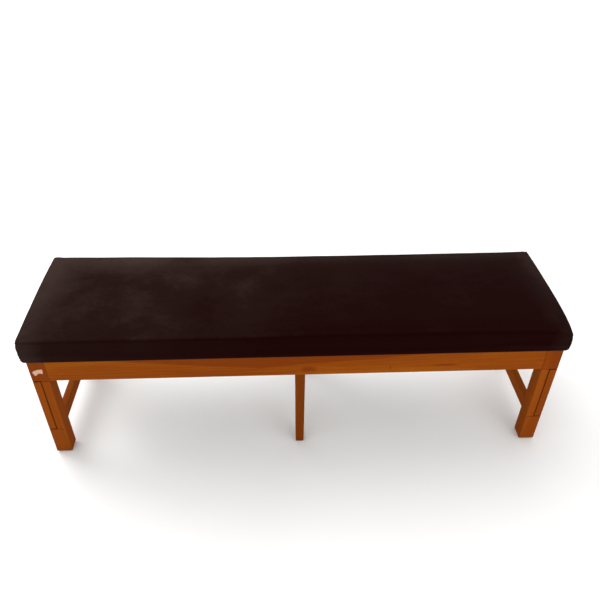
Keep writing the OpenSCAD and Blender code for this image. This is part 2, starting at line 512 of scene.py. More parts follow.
@dataclass(frozen=True)
class Timber:
    """Planed timber, bare or stained.

    Attributes:
        name: What it is called.
        early: The paler part of a year ring.
        late: The darker part of a year ring.
        glow: Broad streaks in the board.
        edge_wear_and_shade: Colour of the long edges, paler from rubbing; on the strips it is
            dark, a painted shade beside the grooves.
        heart: Dark heartwood.
        ring: Spacing of the year rings.
        stray: How far the year rings stray along the board.
        figure: How much the rings show against the fibres.
        streak: How strong the broad streaks are.
        rough: Roughness of the surface.
        gloss: Specular level of the surface.
        varnish: Weight of the clear coat.
        warm: Colour that the stain lends to the gloss.
        end_darkening: How dark the joints and the foot are.
    """

    name: str
    early: str
    late: str
    glow: str
    edge_wear_and_shade: str
    heart: str = "#6b2a06"
    ring: float = 5.0 * MM
    stray: float = 26 * MM
    figure: float = 0.5
    streak: float = 0.5
    rough: float = 0.42
    gloss: float = 0.0
    varnish: float = 0.05
    warm: str = "#ffb070"
    end_darkening: float = 0.5

    def material(self, node: str, grain: Axis, board: Board = Board()) -> bpy.types.Material:
        """Makes the material of one piece, cut from its own part of a tree.

        Args:
            node: The CAD node that it is for.
            grain: The direction of the grain.
            board: What shows in its face.

        Returns:
            The material.
        """
        shader = Shader(f"{self.name}_{node}")
        cut = Cut(shader, node, grain)
        early, late, heart = tint(self.early), tint(self.late), tint(self.heart)
        bend = cut.noise(5.0, 1.3, 1.5) * self.stray
        core = None
        for knot in board.knots:
            field = cut.near(knot)
            bend = bend + field * (knot.push * knot.size)
            core = field if core is None else core.most(field)
        ripple = cut.noise(70.0, 4.0, 3.0)
        rings = (cut.from_pith(bend) * (TURN / self.ring) + ripple * 4.0).wave()
        fibre = cut.noise(380.0, 9.0, 4.0, 0.62)
        pores = cut.noise(1300.0, 60.0, 1.0).rise(0.40, 0.30)
        broad = cut.noise(22.0, 1.7, 2.0).rise(0.42, 0.66)
        tone = rings * self.figure + fibre * (1.0 - self.figure)
        colour = shader.ramp(tone, [(0.25, early), (0.78, late)])
        colour = shader.mix(broad * self.streak, colour, tint(self.glow))
        blush = cut.noise(17.0, 2.6, 3.0).rise(0.48, 0.72)
        colour = shader.mix(blush * self.streak * 0.6, colour, heart)
        colour = shader.mix(pores * 0.45, colour, late)
        if board.heart:
            inside = cut.in_heart(board.heart) + (ripple - 0.5) * (9 * MM)
            colour = shader.mix(inside.rise(-1.5 * MM, 3.5 * MM) * 0.6, colour, heart)
            line = inside.rise(-2.0 * MM, 0.0) * inside.rise(2.6 * MM, 0.0)
            colour = shader.mix(line * (blush * 0.5 + 0.35), colour, heart)
        if core is not None:
            colour = shader.mix(core.rise(0.45, 1.0) * 0.7, colour, heart)
        for fleck in board.flecks:
            spot = cut.around(fleck) + fibre * 0.5
            colour = shader.mix(spot.rise(1.5, 0.7) * 0.8, colour, heart)
        # Painted shade: darker beyond the given place, for the shade under the seat.
        if board.shaded_from is not None:
            above = cut.along.rise(board.shaded_from - 0.5 * MM, board.shaded_from + 0.5 * MM)
            colour = shader.mix(above * 0.45, colour, heart)
        chips = cut.noise(60.0, 14.0, 3.0)
        # Long edges: paler from rubbing; on the strips a dark painted shade beside the grooves.
        wear_and_painted_light = (cut.from_edge() - chips * (5 * MM)).rise(-0.6 * MM, -2.2 * MM)
        colour = shader.mix(wear_and_painted_light * 0.55, colour, tint(self.edge_wear_and_shade))
        # Darker within a millimetre or two of each piece's ends, at the joints and the foot.
        end_dark = (cut.from_end() - chips * (4 * MM)).rise(1.0 * MM, -1.5 * MM)
        colour = shader.mix(end_dark * self.end_darkening, colour, late, "MULTIPLY")
        height = fibre * 0.5 - pores * 0.6 + rings * 0.12
        return shader.finish(
            {
                "Base Color": colour,
                "Roughness": fibre * 0.18 + (self.rough - 0.09) + wear_and_painted_light * 0.08,
                "Normal": shader.bump(height, 0.12 * MM),
                "Specular IOR Level": self.gloss,
                "Specular Tint": tint(self.warm),
                "Coat Weight": self.varnish,
                "Coat Roughness": 0.28,
                "Coat Tint": tint(self.warm),
            }
        )


@dataclass(frozen=True)
class NappedCloth:
    """Short-piled cloth like suede, brushed this way and that, with painted light and shade in its
    tone.

    Attributes:
        ground: Pile that lies flat.
        brushed: Pile brushed the other way.
        pale_and_sheen: The palest tone: marks where hands and knees rub it, and painted sheen
            where the light falls.
        rim: How much the left, right, front and back edges of the top show rubbing and painted
            sheen.
        rim_wide: How far in from the edge the rubbing and painted sheen reach.
        rim_wear_and_sheen: How much paler the rubbing and painted sheen make them.
        left_painted_light: How much paler the left half is painted: painted light from the left.
        right_painted_shade: How much deeper the right half is painted: painted shade away from the
            light.
        back_painted_sheen: How much paler the back is painted: painted sheen.
        top_painted_light: How much paler the top is painted than the sides: painted light from
            above.
        brow_shade: How much deeper the line under the brow is.
        side_shade: How much deeper the sides are away from the left end.
        end_painted_light: How much paler the sides are painted at the left and at the right
            corner: painted light.
        corner_wide: How far from a corner that holds.
        level: Moves the whole tone.
    """

    ground: str = "#150101"
    brushed: str = "#1c0d0b"
    pale_and_sheen: str = "#352824"
    rim: tuple[float, float, float, float] = (0.9, 1.2, 0.0, 0.8)
    rim_wide: float = 60 * MM
    rim_wear_and_sheen: float = 0.11
    left_painted_light: float = 0.12
    right_painted_shade: float = 0.04
    back_painted_sheen: float = 0.11
    top_painted_light: float = 0.035
    brow_shade: float = 0.035
    side_shade: float = 0.03
    end_painted_light: tuple[float, float] = (0.04, 0.09)
    corner_wide: float = 90 * MM
    level: float = -0.068

    def material(self) -> bpy.types.Material:
        """Makes the material.

        Returns:
            The material.
        """
        shader = Shader("cover_cloth")
        place = shader.place
        x, y, z = shader.split(place)
        low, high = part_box("seat_cover")
        clouds = shader.noise(place, 4.5, 5.0, 0.58)
        strokes = shader.noise(shader.join(x * 14.0, y * 34.0, z * 34.0), 1.0, 3.0, 0.6)
        dabs = shader.noise(place, 75.0, 3.0, 0.6)
        pile = shader.noise(place, 1500.0, 2.0, 0.6)
        side = z.rise(high.z - 3 * MM, high.z - 9 * MM)
        nap = clouds * 0.72 + strokes * 0.14 + dabs * 0.14
        to_right = x.rise(-0.5 * high.x, 0.5 * high.x)
        still = side * 0.45 + x.rise(-0.4 * high.x, 0.5 * high.x) * 0.18
        calm = (nap - 0.5) * (0.66 - still) + 0.5
        wander = (clouds - 0.5) * (3.0 * self.rim_wide) + (strokes - 0.5) * self.rim_wide
        # Rubbing along the top's edges, with painted sheen along them.
        wear_and_painted_light = self._wear_and_sheen((x - low.x, high.x - x, y - low.y, high.y - y), wander)
        # Painted light and shade: paler to the left, at the back, on the top and at the ends;
        # deeper to the right; deeper under the brow and along the sides.
        across = x.rise(0.35 * high.x, low.x) * self.left_painted_light - to_right * self.right_painted_shade
        back_and_top_light = y.rise(-0.7 * high.y, high.y) * self.back_painted_sheen + (1.0 - side) * self.top_painted_light
        under_brow = z.rise(high.z - 11 * MM, high.z - 7 * MM) * z.rise(
            high.z - 2 * MM, high.z - 6 * MM
        )
        shade = (
            under_brow * self.brow_shade
            + side * x.rise(low.x, -0.3 * high.x) * self.side_shade
        )
        end_light = (
            x.rise(low.x + self.corner_wide, low.x) * self.end_painted_light[0]
            + x.rise(high.x - self.corner_wide, high.x) * self.end_painted_light[1]
        )
        paler = wear_and_painted_light * self.rim_wear_and_sheen + across + back_and_top_light + end_light * side
        tone = calm + paler - shade + self.level
        colour = shader.ramp(
            tone, [(0.44, tint(self.ground)), (0.58, tint(self.brushed)), (0.80, tint(self.pale_and_sheen))]
        )
        colour = shader.mix(pile.rise(0.35, 0.65) * 0.06, colour, tint(self.pale_and_sheen))
        soft = shader.bump(dabs * 0.6 + strokes * 0.4, 0.8 * MM)
        return shader.finish(
            {
                "Base Color": colour,
                "Roughness": nap * 0.2 + 0.78,
                "Normal": shader.bump(pile, 0.25 * MM, soft),
                "Specular IOR Level": 0.01,
                "Sheen Weight": 0.025,
                "Sheen Roughness": 0.5,
                "Sheen Tint": tint("#c8b8b0"),
            }
        )

    def _wear_and_sheen(self, edges: Iterable[Field], wander: Field) -> Field:
        """Gives how much the top shows rubbing and painted sheen near its edges.

        Args:
            edges: Distances from the left, right, front and back edge.
            wander: How far the band of rubbing and painted sheen strays there.

        Returns:
            The rubbing and painted sheen, from zero to the largest share.
        """
        wear_and_painted_light = None
        for edge, share in zip(edges, self.rim):
            band = (edge + wander).rise(1.6 * self.rim_wide, 0.2 * self.rim_wide) * share
            wear_and_painted_light = band if wear_and_painted_light is None else wear_and_painted_light.most(band)
        return wear_and_painted_light


@dataclass(frozen=True)
class Lining:
    """Thin black non-woven cloth with a pressed dot pattern.

    Attributes:
        colour: Its darkest colour.
        dots: Pressed dots per metre.
    """

    colour: str = "#141416"
    dots: float = 900.0

    def material(self) -> bpy.types.Material:
        """Makes the material.

        Returns:
            The material.
        """
        shader = Shader("lining")
        fibres = shader.noise(shader.place, 900.0, 4.0, 0.7)
        cells = shader.node(
            "ShaderNodeTexVoronoi", sockets={"Vector": shader.place, "Scale": self.dots}
        )
        dust = shader.noise(shader.place, 18.0, 4.0, 0.6).rise(0.45, 0.75)
        colour = shader.mix(fibres.rise(0.4, 0.7) * 0.6, tint(self.colour), tint("#2a2a2c"))
        colour = shader.mix(dust * 0.35, colour, tint("#4a4743"))
        return shader.finish(
            {
                "Base Color": colour,
                "Roughness": fibres * 0.2 + 0.75,
                "Normal": shader.bump(cells * 0.6 + fibres * 0.4, 0.3 * MM),
                "Specular IOR Level": 0.3,
            }
        )


@dataclass(frozen=True)
class CutFoam:
    """Sawn polyurethane foam with open cells.

    Attributes:
        colour: Its colour when new.
    """

    colour: str = "#e4d59c"

    def material(self) -> bpy.types.Material:
        """Makes the material.

        Returns:
            The material.
        """
        shader = Shader("foam")
        cells = shader.node(
            "ShaderNodeTexVoronoi", sockets={"Vector": shader.place, "Scale": 650.0}
        )
        aged = shader.noise(shader.place, 6.0, 3.0).rise(0.35, 0.7)
        colour = shader.mix(aged * 0.5, tint(self.colour), tint("#c79f55"))
        colour = shader.mix(cells.rise(0.5, 0.1) * 0.4, colour, tint("#8e6f35"))
        return shader.finish(
            {
                "Base Color": colour,
                "Roughness": cells * 0.1 + 0.88,
                "Normal": shader.bump(cells, 0.6 * MM),
            }
        )


@dataclass(frozen=True)
class Plywood:
    """Bare plywood, with its veneers showing at the edges.

    Attributes:
        veneer: Thickness of one veneer.
    """

    veneer: float = 1.7 * MM

    def material(self, node: str) -> bpy.types.Material:
        """Makes the material.

        Args:
            node: The CAD node that it is for.

        Returns:
            The material.
        """
        shader = Shader("plywood")
        low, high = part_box(node)
        x, y, z = shader.split(shader.place)
        layers = ((z - low.z) * (TURN / 2 / self.veneer)).wave().rise(0.35, 0.65)
        inside = (z - low.z).least(high.z - z).rise(0.1 * MM, 0.4 * MM)
        grain = shader.noise(shader.join(x * 6.0, y * 260.0, z * 260.0), 1.0, 4.0, 0.6)
        colour = shader.ramp(grain, [(0.3, tint("#c19a66")), (0.7, tint("#8f6434"))])
        colour = shader.mix(layers * inside * 0.6, colour, tint("#5d3c1d"))
        return shader.finish(
            {
                "Base Color": colour,
                "Roughness": grain * 0.2 + 0.6,
                "Normal": shader.bump(grain, 0.2 * MM),
            }
        )


@dataclass(frozen=True)
class ZincSteel:
    """Bright zinc-plated steel of screws and staples."""

    def material(self, name: str) -> bpy.types.Material:
        """Makes the material.

        Args:
            name: The material's name.

        Returns:
            The material.
        """
        shader = Shader(name)
        blooms = shader.noise(shader.place, 300.0, 3.0)
        scuffs = shader.noise(shader.place, 2500.0, 2.0)
        colour = shader.ramp(blooms, [(0.35, tint("#b9b6a6")), (0.7, tint("#8d8b80"))])
        return shader.finish(
            {
                "Base Color": colour,
                "Metallic": 1.0,
                "Roughness": scuffs * 0.3 + 0.22,
                "Normal": shader.bump(scuffs, 0.03 * MM),
            }
        )


@dataclass(frozen=True)
class PressedFibre:
    """Matt pressed fibres, as in felt and paper.

    Attributes:
        name: The material's name.
        deep: Colour between the fibres.
        face: Colour of the fibres.
        start: Noise value up to which the deep colour holds.
        fine: Fibres per metre.
        rough: Least roughness.
        spread: How much the roughness varies.
        nap: Height of the fibres.
        stain: Colour of blotches, if it has any.
    """

    name: str
    deep: str
    face: str
    start: float
    fine: float
    rough: float
    spread: float
    nap: float
    stain: str | None = None

    def material(self) -> bpy.types.Material:
        """Makes the material.

        Returns:
            The material.
        """
        shader = Shader(self.name)
        fibres = shader.noise(shader.place, self.fine, 4.0, 0.7)
        colour = shader.ramp(fibres, [(self.start, tint(self.deep)), (0.7, tint(self.face))])
        if self.stain is not None:
            blotches = shader.noise(shader.place, 160.0, 3.0).rise(0.42, 0.66)
            colour = shader.mix(blotches * 0.45, colour, tint(self.stain))
        return shader.finish(
            {
                "Base Color": colour,
                "Roughness": fibres * self.spread + self.rough,
                "Normal": shader.bump(fibres, self.nap),
            }
        )


@dataclass(frozen=True)
class PaleFloor:
    """Even, nearly white floor."""

    def material(self) -> bpy.types.Material:
        """Makes the material.

        Returns:
            The material.
        """
        shader = Shader("pale_floor")
        cloud = shader.noise(shader.place, 1.6, 3.0)
        colour = shader.ramp(cloud, [(0.3, tint("#f5f5f4")), (0.7, tint("#f9f9f8"))])
        return shader.finish({"Base Color": colour, "Roughness": cloud * 0.1 + 0.7})


# ---- mesh helpers ----


def place_piece(piece: bpy.types.Object, material: bpy.types.Material) -> None:
    """Puts a new piece on the body and gives it its finish.

    Args:
        piece: The piece.
        material: Its material.
    """
    piece.data.materials.clear()
    piece.data.materials.append(material)
    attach(piece, BODY)


def mesh_piece(name: str, mesh: bpy.types.Mesh) -> bpy.types.Object:
    """Makes an object of a mesh.

    Args:
        name: The piece's name.
        mesh: Its mesh.

    Returns:
        The linked object, shaded smooth.
    """
    mesh.name = name
    mesh.polygons.foreach_set("use_smooth", [True] * len(mesh.polygons))
    piece = bpy.data.objects.new(name, mesh)
    bpy.context.scene.collection.objects.link(piece)
    return piece


def points_of(mesh: bpy.types.Mesh) -> np.ndarray:
    """Reads a mesh's points.

    Args:
        mesh: The mesh.

    Returns:
        One row for each point.
    """
    flat = np.zeros(len(mesh.vertices) * 3)
    mesh.vertices.foreach_get("co", flat)
    return flat.reshape(-1, 3)


def set_points(mesh: bpy.types.Mesh, points: np.ndarray) -> None:
    """Writes a mesh's points.

    Args:
        mesh: The mesh.
        points: One row for each point.
    """
    mesh.vertices.foreach_set("co", points.ravel())
    mesh.update()


def normals_of(mesh: bpy.types.Mesh) -> np.ndarray:
    """Reads the normals at a mesh's points.

    Args:
        mesh: The mesh.

    Returns:
        One row for each point.
    """
    flat = np.zeros(len(mesh.vertices) * 3)
    mesh.vertices.foreach_get("normal", flat)
    return flat.reshape(-1, 3)


def bake_modifiers(piece: bpy.types.Object) -> None:
    """Replaces a piece's mesh by what its modifiers make of it, and removes them.

    Args:
        piece: The piece.
    """
    graph = bpy.context.evaluated_depsgraph_get()
    made = bpy.data.meshes.new_from_object(piece.evaluated_get(graph))
    old = piece.data
    piece.modifiers.clear()
    piece.data = made
    made.name = piece.name
    bpy.data.meshes.remove(old)


def lumps(points: np.ndarray, size: float, seed: float) -> np.ndarray:
    """Reads smooth noise at points.

    Args:
        points: One row for each point.
        size: Size of a lump.
        seed: Moves the noise to another place.

    Returns:
        One value for each point, from about -1 to 1.
    """
    scaled = points / size + seed
    return np.array([noise.noise(row) for row in scaled])


def smooth_step(value: np.ndarray, start: float, end: float) -> np.ndarray:
    """A smooth step from zero to one.

    Args:
        value: The values.
        start: Where the step is still zero.
        end: Where it has reached one; it may be below start.

    Returns:
        The step at each value.
    """
    share = np.clip((value - start) / (end - start), 0.0, 1.0)
    return share * share * (3.0 - 2.0 * share)


# ---- the padded seat ----


@dataclass
class SeatPad:
    """The padded seat: cloth drawn tight over foam and tucked under the board.

    Attributes:
        corner: Plan radius of its corners.
        brow: Radius of its upper edge.
        tuck: Radius of its lower edge.
        voxel: Mesh size of the cloth that is simulated.
        start_in: How far the starting shape stands inside the CAD solid.
        pressure: Pressure of the foam on the cloth.
        frames: Steps of the simulation.
        held: Height above the underside up to which the board holds the cloth.
        let_go: Height over which the board's hold then fades.
        swell: The most that a point may move, at an edge and amid a face.
        swell_reach: Distance from an edge at which the larger limit holds.
        profile: Heights, as shares of the whole, and how far the side stands out there.
        back_pull: How far the back edge is drawn in at mid length.
        end_bow: How far the left and the right end bow out.
        end_reach: Length of the seat's end that bows.
        rear_left: How far the rear left corner is drawn out, to the left, the back and up.
        front_right: How far the front right corner is drawn in and down.
        droop_reach: Distances from that corner at which each of the two has faded to a third.
        hang: How far the lower edge hangs below the board, outside the rails.
        rim_from: Distances outside the rails at which the lower edge starts to hang and
            hangs fully.
        sway: Height and size of the broad unevenness of the cloth.
        dimple: Height and size of the small unevenness.
        drag: Height and reach of the drag lines at the corners.
        slack: Height and spacing of the slack folds along the tuck.
    """

    corner: float = 9 * MM
    brow: float = 5 * MM
    tuck: float = 4 * MM
    voxel: float = 6 * MM
    start_in: float = 2 * MM
    pressure: float = 4.0
    frames: int = 20
    held: float = 14 * MM
    let_go: float = 8 * MM
    swell: tuple[float, float] = (1.2 * MM, 5.5 * MM)
    swell_reach: float = 70 * MM
    profile: tuple[tuple[float, float], ...] = (
        (0.14, 2.0 * MM),
        (0.36, 1.5 * MM),
        (0.60, 0.8 * MM),
        (0.84, 0.0),
    )
    back_pull: float = 5 * MM
    end_bow: tuple[float, float] = (4 * MM, 3 * MM)
    end_reach: float = 120 * MM
    rear_left: tuple[float, float, float] = (5 * MM, 9 * MM, 2 * MM)
    front_right: tuple[float, float] = (0.5 * MM, 17 * MM)
    droop_reach: tuple[float, float] = (70 * MM, 50 * MM)
    hang: float = 3.5 * MM
    rim_from: tuple[float, float] = (1.5 * MM, 4.5 * MM)
    sway: tuple[float, float] = (0.45 * MM, 110 * MM)
    dimple: tuple[float, float] = (0.2 * MM, 28 * MM)
    drag: tuple[float, float] = (0.7 * MM, 55 * MM)
    slack: tuple[float, float] = (0.3 * MM, 17 * MM)

    def build(self) -> bpy.types.Object:
        """Makes the cushion.

        Returns:
            The piece.
        """
        self.low, self.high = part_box("seat_cover")
        piece = mesh_piece("seat_cushion", self._start_mesh())
        remesh = piece.modifiers.new("even", "REMESH")
        remesh.mode = "VOXEL"
        remesh.voxel_size = self.voxel
        bake_modifiers(piece)
        self._inflate(piece)
        self._set_out(piece.data)
        finer = piece.modifiers.new("finer", "SUBSURF")
        finer.levels = finer.render_levels = 1
        bake_modifiers(piece)
        self._draw_in(piece.data)
        self._hang_rim(piece.data)
        self._crease(piece.data)
        piece.data.polygons.foreach_set("use_smooth", [True] * len(piece.data.polygons))
        place_piece(piece, NappedCloth().material())
        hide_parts("seat_cover")
        LOG.info("%s: %d points", piece.name, len(piece.data.vertices))
        return piece

    def _start_mesh(self) -> bpy.types.Mesh:
        """Makes the closed shape that the cloth starts from.

        Returns:
            A slab with rounded corners, brow and tuck.
        """
        low, high = self.low.copy(), self.high.copy()
        low.x += self.start_in
        low.y += self.start_in
        high -= Vector((self.start_in,) * 3)
        slab = bmesh.new()
        size = Matrix.Diagonal((*(high - low), 1.0))
        bmesh.ops.create_cube(slab, size=1.0, matrix=Matrix.Translation((low + high) / 2) @ size)
        upright = [e for e in slab.edges if abs((e.verts[0].co - e.verts[1].co).z) > MM]
        bmesh.ops.bevel(
            slab, geom=upright, offset=self.corner, segments=6, profile=0.5, affect="EDGES"
        )
        for height, radius in ((high.z, self.brow), (low.z, self.tuck)):
            rim = [
                e
                for e in slab.edges
                if all(abs(v.co.z - height) < 0.1 * MM for v in e.verts)
                and any(abs(f.normal.z) < 0.5 for f in e.link_faces)
            ]
            bmesh.ops.bevel(
                slab, geom=rim, offset=radius, segments=5, profile=0.5, affect="EDGES"
            )
        mesh = bpy.data.meshes.new("seat_cushion")
        slab.to_mesh(mesh)
        slab.free()
        return mesh

    def _from_edges(self, points: np.ndarray) -> np.ndarray:
        """Measures how far points lie from the nearest edge of the seat's block.

        Args:
            points: One row for each point.

        Returns:
            The distances.
        """
        sides = np.stack(
            (
                self.high.x - np.abs(points[:, 0]),
                self.high.y - np.abs(points[:, 1]),
                self.high.z - points[:, 2],
            )
        )
        return np.maximum(np.sort(sides, axis=0)[1], 0.0)

    def _inflate(self, piece: bpy.types.Object) -> None:
        """Lets the foam press the cloth out, within a limit.

        Args:
            piece: The cushion.
        """
        before = points_of(piece.data)
        held = piece.vertex_groups.new(name="held")
        holds_to = self.low.z + self.held
        grip = 1.0 - smooth_step(before[:, 2], holds_to, holds_to + self.let_go)
        for index in np.flatnonzero(grip > 0.0):
            held.add([int(index)], float(grip[index]), "REPLACE")
        cloth = piece.modifiers.new("cloth", "CLOTH")
        settings = cloth.settings
        settings.quality = 4
        settings.mass = 0.3
        settings.tension_stiffness = settings.compression_stiffness = 15.0
        settings.shear_stiffness = 8.0
        settings.bending_stiffness = 1.0
        settings.shrink_min = -0.006
        settings.use_pressure = True
        settings.uniform_pressure_force = self.pressure
        settings.vertex_group_mass = held.name
        settings.effector_weights.gravity = 0.0
        cloth.point_cache.frame_start = 1
        cloth.point_cache.frame_end = self.frames
        scene = bpy.context.scene
        for step in range(1, self.frames + 1):
            scene.frame_set(step)
        bake_modifiers(piece)
        scene.frame_set(1)
        piece.vertex_groups.clear()
        moved = points_of(piece.data) - before
        length = np.linalg.norm(moved, axis=1)
        amid = smooth_step(self._from_edges(before), 0.0, self.swell_reach)
        limit = self.swell[0] + (self.swell[1] - self.swell[0]) * amid
        share = limit * np.tanh(length / limit) / np.maximum(length, 1e-9)
        set_points(piece.data, before + moved * share[:, None])

    def _set_out(self, mesh: bpy.types.Mesh) -> None:
        """Brings the sides out to the seat's outline, height by height.

        Args:
            mesh: The cushion's mesh.
        """
        points = points_of(mesh)
        height = (points[:, 2] - self.low.z) / (self.high.z - self.low.z)
        levels = [level for level, _ in self.profile]
        middle_share, band = 0.6, 0.07
        for axis in (0, 1):
            half = self.high[axis]
            amid = np.abs(points[:, 1 - axis]) < middle_share * self.high[1 - axis]
            gains = []
            for level, proud in self.profile:
                ring = amid & (np.abs(height - level) < band)
                gains.append((half + proud) / np.abs(points[ring, axis]).max())
            points[:, axis] *= np.interp(height, levels, gains)
        set_points(mesh, points)

    def _draw_in(self, mesh: bpy.types.Mesh) -> None:
        """Pulls the back edge in between its corners, bows the ends out and shifts two corners.

        Args:
            mesh: The cushion's mesh.
        """
        points = points_of(mesh)
        x, y, z = points.T
        half_l, half_d = self.high.x, self.high.y
        above = smooth_step(z, self.low.z + self.held, self.low.z + 3 * self.held)
        back = smooth_step(y, 0.0, half_d)
        points[:, 1] -= self.back_pull * back * above * (1 - (x / half_l) ** 2)
        for end, bow in zip((-1, 1), self.end_bow):
            near = smooth_step(end * x, half_l - self.end_reach, half_l)
            points[:, 0] += end * bow * near * above * (1 - (y / half_d) ** 2)
        corner = smooth_step(-x, 0.0, half_l) * smooth_step(y, -half_d, half_d) * above
        points += corner[:, None] * np.array((-1.0, 1.0, 1.0)) * np.array(self.rear_left)
        reach = np.hypot(half_l - x, half_d + y)
        for axis, pull, fades in zip((0, 2), self.front_right, self.droop_reach):
            points[:, axis] -= pull * np.exp(-reach / fades) * above
        set_points(mesh, points)

    def _hang_rim(self, mesh: bpy.types.Mesh) -> None:
        """Lets the lower edge hang a little below the board, outside the rails.

        Args:
            mesh: The cushion's mesh.
        """
        points = points_of(mesh)
        x, y, z = points.T
        rail_x, rail_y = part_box("leg_rear_right")[1].xy
        clear = np.maximum(np.abs(x) - rail_x, np.abs(y) - rail_y)
        low_down = smooth_step(z, self.low.z + self.held, self.low.z)
        points[:, 2] -= self.hang * smooth_step(clear, *self.rim_from) * low_down
        set_points(mesh, points)

    def _crease(self, mesh: bpy.types.Mesh) -> None:
        """Adds the cloth's small folds: drag lines at the corners and slack along the tuck.

        Args:
            mesh: The cushion's mesh.
        """
        points = points_of(mesh)
        normals = normals_of(mesh)
        x, y, z = points.T
        height = (z - self.low.z) / (self.high.z - self.low.z)
        lift = self.sway[0] * lumps(points, self.sway[1], 3.1)
        lift += self.dimple[0] * lumps(points, self.dimple[1], 8.4)
        corner_x = self.high.x - np.abs(x)
        corner_y = self.high.y - np.abs(y)
        reach = np.hypot(corner_x, corner_y)
        angle = np.arctan2(corner_y, corner_x + MM)
        lines = np.sin(9 * angle + 2.5 * lumps(points, 60 * MM, 1.7))
        near = np.exp(-reach / self.drag[1]) * smooth_step(height, 0.1, 0.6)
        lift += self.drag[0] * lines * near
        around = np.where(corner_x < corner_y, y, x)
        folds = np.sin(around / self.slack[1] + 3 * lumps(points, 120 * MM, 5.0))
        slack_at, slack_wide = 0.2, 0.12
        lift += self.slack[0] * folds * np.exp(-(((height - slack_at) / slack_wide) ** 2))
        lift[z <= self.low.z + 0.8 * MM] = 0.0
        points += normals * lift[:, None]
        amid = (np.abs(x) < self.high.x - 8 * MM) & (np.abs(y) < self.high.y - 6 * MM)
        points[amid, 2] = np.maximum(points[amid, 2], self.low.z + 0.2 * MM)
        set_points(mesh, points)


@dataclass
class FoamCore:
    """The foam block inside the cover, on top of the board.

    Attributes:
        skin: Thickness of the cloth and the wadding over it.
    """

    skin: float = 3 * MM

    def build(self, cushion: bpy.types.Object) -> bpy.types.Object:
        """Makes the block from the cushion's own shape.

        Args:
            cushion: The finished cushion.

        Returns:
            The piece.
        """
        low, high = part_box("seat_foam")
        mesh = cushion.data.copy()
        piece = mesh_piece("foam_core", mesh)
        thinner = piece.modifiers.new("coarser", "DECIMATE")
        thinner.decimate_type = "UNSUBDIV"
        thinner.iterations = 2
        bake_modifiers(piece)
        points = points_of(piece.data) - normals_of(piece.data) * self.skin
        for axis in (0, 1):
            limit = high[axis] - MM
            points[:, axis] = np.clip(points[:, axis], -limit, limit)
        points[:, 2] = np.maximum(points[:, 2], low.z + 0.2 * MM)
        set_points(piece.data, points)
        place_piece(piece, CutFoam().material())
        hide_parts("seat_foam")
        LOG.info("%s: %d points", piece.name, len(piece.data.vertices))
        return piece


@dataclass
class CornerFold:
    """A pleat of spare cloth laid round a corner of the seat.

    Attributes:
        side_x: -1 for the left end, 1 for the right.
        side_y: -1 for the front, 1 for the back.
        thick: Thickness of the folded cloth.
        wide: How far it reaches round the corner at its top and at its foot.
        behind: How far it starts before the corner.
        inset: How far in from the corner the cushion's top is measured.
        ends: How far it stays above the cushion's foot and below its top.
        clear: How far outside the seat its points start, before they are laid on.
        hidden: How deep its thin borders lie in the cushion.
        cells: Cells up and round.
        rounded: Share of its width over which its edge is rounded.
        closing: Share of its height over which it closes at the top.
    """

    side_x: int
    side_y: int
    thick: float = 1.5 * MM
    wide: tuple[float, float] = (5 * MM, 13 * MM)
    behind: float = 34 * MM
    inset: float = 14 * MM
    ends: tuple[float, float] = (5 * MM, 3 * MM)
    clear: float = 20 * MM
    hidden: float = 0.6 * MM
    cells: tuple[int, int] = (30, 36)
    rounded: float = 0.1
    closing: float = 0.13

    def build(self, cushion: bpy.types.Object, material: bpy.types.Material) -> bpy.types.Object:
        """Lays the pleat on the cushion's surface.

        Args:
            cushion: The finished cushion.
            material: Its cloth.

        Returns:
            The piece.
        """
        skin = BVHTree.FromObject(cushion, bpy.context.evaluated_depsgraph_get())
        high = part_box("seat_cover")[1]
        corner_x = self.side_x * (high.x - self.inset)
        corner_y = self.side_y * (high.y - self.inset)
        above = Vector((corner_x, corner_y, 2 * high.z))
        top = skin.ray_cast(above, Vector((0.0, 0.0, -1.0)))[0].z
        rows, columns = self.cells
        cloth = bmesh.new()
        grid: list[list[bmesh.types.BMVert]] = []
        for i in range(rows + 1):
            line = []
            for j in range(columns + 1):
                place, lift = self._point(j / columns, i / rows, top)
                point, normal, _, _ = skin.find_nearest(place)
                line.append(cloth.verts.new(point + normal * lift))
            grid.append(line)
        for upper, lower in zip(grid[1:], grid[:-1]):
            for j in range(columns):
                cloth.faces.new((lower[j], lower[j + 1], upper[j + 1], upper[j]))
        mesh = bpy.data.meshes.new("fold")
        bmesh.ops.recalc_face_normals(cloth, faces=cloth.faces)
        cloth.to_mesh(mesh)
        cloth.free()
        depth = "front" if self.side_y < 0 else "rear"
        side = "left" if self.side_x < 0 else "right"
        piece = mesh_piece(f"fold_{depth}_{side}", mesh)
        place_piece(piece, material)
        LOG.info("%s: laid", piece.name)
        return piece

    def _point(self, share: float, rise: float, top: float) -> tuple[Vector, float]:
        """Gives one point of the pleat before it is laid on the cushion.

        Args:
            share: How far round the corner, from zero where it starts to one at its edge.
            rise: How far up, from zero to one.
            top: Height of the cushion's top near the corner.

        Returns:
            A place outside the cushion, and the height to lay it at above the surface.
        """
        low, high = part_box("seat_cover")
        reach = self.wide[1] + (self.wide[0] - self.wide[1]) * rise**0.7
        along = share * (self.behind + reach) - self.behind
        foot, cap = self.ends
        place = Vector(
            (
                self.side_x * (high.x + (self.clear if along <= 0 else -along)),
                self.side_y * (high.y + (self.clear if along >= 0 else along)),
                low.z + foot + rise * (top - low.z - foot - cap),
            )
        )
        over = math.sin(min(1.0, share * 1.25) * math.pi / 2) ** 2
        from_edge = max(0.0, (share - (1.0 - self.rounded)) / self.rounded)
        edge = math.sqrt(max(0.0, 1.0 - from_edge**2))
        if rise < 1.0 - self.closing:
            crown = math.sin(math.pi * min(1.0, rise * 1.15 + 0.02)) ** 0.35
        else:
            crown = (1.0 - rise) / self.closing
        lift = (self.thick + self.hidden) * over * edge * min(1.0, crown)
        return place, lift - self.hidden


# ---- the lining below the board ----


